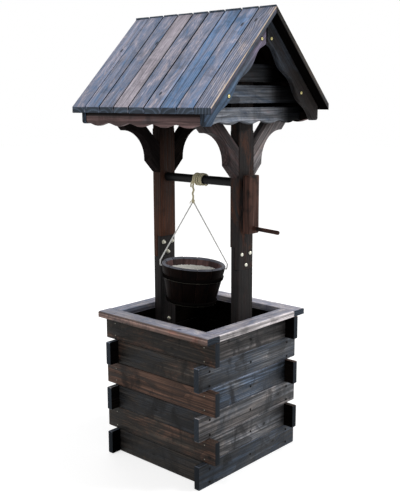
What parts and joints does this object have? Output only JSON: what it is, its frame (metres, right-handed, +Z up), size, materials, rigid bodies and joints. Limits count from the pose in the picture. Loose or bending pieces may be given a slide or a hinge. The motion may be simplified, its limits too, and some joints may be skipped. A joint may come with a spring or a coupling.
{
  "type": "wishing well planter",
  "caption": "Wooden wishing well planter: square log-cabin planter box, two posts with knee braces, boarded gable roof, and a crank winch that raises and lowers a stave bucket on a rope.",
  "frame": {"origin": "middle of the base, on the ground under the middle bearer of the planter's floor", "axes": "+Z up, +X along the winch axle towards the crank, -Y towards the front"},
  "size_m": [0.484, 0.45, 1.1475],
  "materials": {
    "wall_wood": "charred and brushed fir boards, dark brown to blue grey",
    "cap_wood": "charred and brushed fir, pale lavender grey top",
    "floor_wood": "rough dark fir",
    "post_wood": "charred fir, dark red brown",
    "roof_wood": "charred and brushed fir planks, blue grey",
    "barge_wood": "charred and brushed fir, blue grey",
    "trim_wood": "charred and brushed fir, grey brown",
    "axle_wood": "turned wood, stained black brown",
    "crank_wood": "stained wood, dark brown",
    "rope": "twisted jute",
    "cord": "pale grey cotton cord",
    "bucket_wood": "dark stained staves, satin",
    "hoop_metal": "dark steel band"
  },
  "bodies": {
    "well_frame": {"front_board_1": "wall_wood", "front_board_2": "wall_wood", "front_board_3": "wall_wood", "front_board_4": "wall_wood", "front_board_5": "wall_wood", "front_board_6": "wall_wood", "back_board_1": "wall_wood", "back_board_2": "wall_wood", "back_board_3": "wall_wood", "back_board_4": "wall_wood", "back_board_5": "wall_wood", "back_board_6": "wall_wood", "left_board_1": "wall_wood", "left_board_2": "wall_wood", "left_board_3": "wall_wood", "left_board_4": "wall_wood", "left_board_5": "wall_wood", "left_board_6": "wall_wood", "right_board_1": "wall_wood", "right_board_2": "wall_wood", "right_board_3": "wall_wood", "right_board_4": "wall_wood", "right_board_5": "wall_wood", "right_board_6": "wall_wood", "cap_front": "cap_wood", "cap_back": "cap_wood", "cap_left": "cap_wood", "cap_right": "cap_wood", "floor_panel": "floor_wood", "lower_post_left": "post_wood", "upper_post_left": "post_wood", "brace_left_back": "post_wood", "barge_board_left_back": "barge_wood", "brace_left_front": "post_wood", "barge_board_left_front": "barge_wood", "gable_slat_left_1": "trim_wood", "gable_slat_left_2": "trim_wood", "gable_slat_left_3": "trim_wood", "lower_post_right": "post_wood", "upper_post_right": "post_wood", "brace_right_back": "post_wood", "barge_board_right_back": "barge_wood", "brace_right_front": "post_wood", "barge_board_right_front": "barge_wood", "gable_slat_right_1": "trim_wood", "gable_slat_right_2": "trim_wood", "gable_slat_right_3": "trim_wood", "roof_planks_back": "roof_wood", "fascia_back": "trim_wood", "roof_planks_front": "roof_wood", "fascia_front": "trim_wood"},
    "winch": {"axle": "axle_wood", "crank_arm": "crank_wood", "crank_handle": "crank_wood", "rope_winding": "rope"},
    "rope_drop": {"hanging_rope": "rope"},
    "bail": {"bucket_cords": "cord"},
    "bucket": {"bucket_staves": "bucket_wood", "bucket_hoop_upper": "hoop_metal", "bucket_hoop_lower": "hoop_metal"}
  },
  "joints": [
    {"name": "winch_turn", "type": "hinge", "parent": "well_frame", "child": "winch", "pos_m": [0, 0, 0.7325], "axis": [1, 0, 0], "range_deg": [-138, 1040]},
    {"name": "rope_swing", "type": "hinge", "parent": "well_frame", "child": "rope_drop", "pos_m": [-0.016, -0.0138, 0.7325], "axis": [1, 0, 0], "range_deg": [-4.2, 4.2]},
    {"name": "bucket_lift", "type": "slide", "parent": "rope_drop", "child": "bail", "axis": [0, 0, -1], "range_m": [-0.035, 0.265], "deforming": ["hanging_rope"]},
    {"name": "bucket_tip", "type": "hinge", "parent": "bail", "child": "bucket", "pos_m": [-0.016, -0.0138, 0.5025], "axis": [0.7367, 0.6727, -0.0698], "range_deg": [-25, 25]}
  ],
  "couplings": [
    {"joint": "bucket_lift", "follows": "winch_turn", "m_per_rad": 0.0138}
  ]
}
